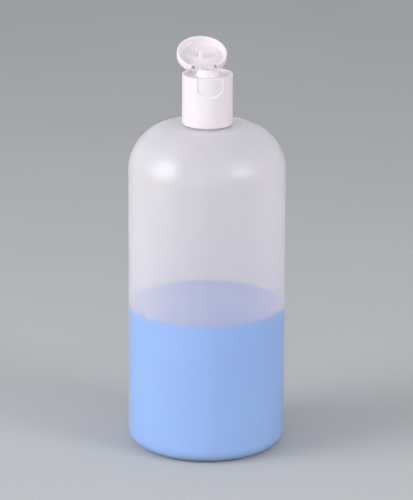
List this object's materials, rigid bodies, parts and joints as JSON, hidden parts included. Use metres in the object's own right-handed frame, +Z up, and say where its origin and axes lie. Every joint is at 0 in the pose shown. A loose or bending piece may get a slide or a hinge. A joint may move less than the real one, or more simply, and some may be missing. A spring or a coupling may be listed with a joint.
{
  "type": "round plastic bottle with flip-top cap",
  "caption": "Round translucent squeeze bottle, half full of blue liquid, with a white screw cap whose hinged flip lid stands open.",
  "frame": {"origin": "middle of the foot's standing ring, on the surface that the bottle stands on", "axes": "+Z up along the bottle's axis, -Y towards the thumb recess at the front of the cap, +Y towards the lid's hinge, +X to the right seen from the front"},
  "size_m": [0.09, 0.09, 0.2311],
  "materials": {
    "natural_plastic": "soft satin, translucent",
    "white_plastic": "smooth moulded",
    "blue_liquid": "clear liquid"
  },
  "bodies": {
    "bottle": {"bottle": "natural_plastic", "liquid": "blue_liquid"},
    "cap": {"cap": "white_plastic"},
    "lid": {"flip_lid": "white_plastic"}
  },
  "joints": [
    {"name": "cap_lift", "type": "slide", "parent": "bottle", "child": "cap", "axis": [0, 0, 1], "range_m": [0, 0.04]},
    {"name": "lid_hinge", "type": "hinge", "parent": "cap", "child": "lid", "pos_m": [0, 0.0149, 0.2186], "axis": [-1, 0, 0], "range_deg": [-153, 27]}
  ]
}
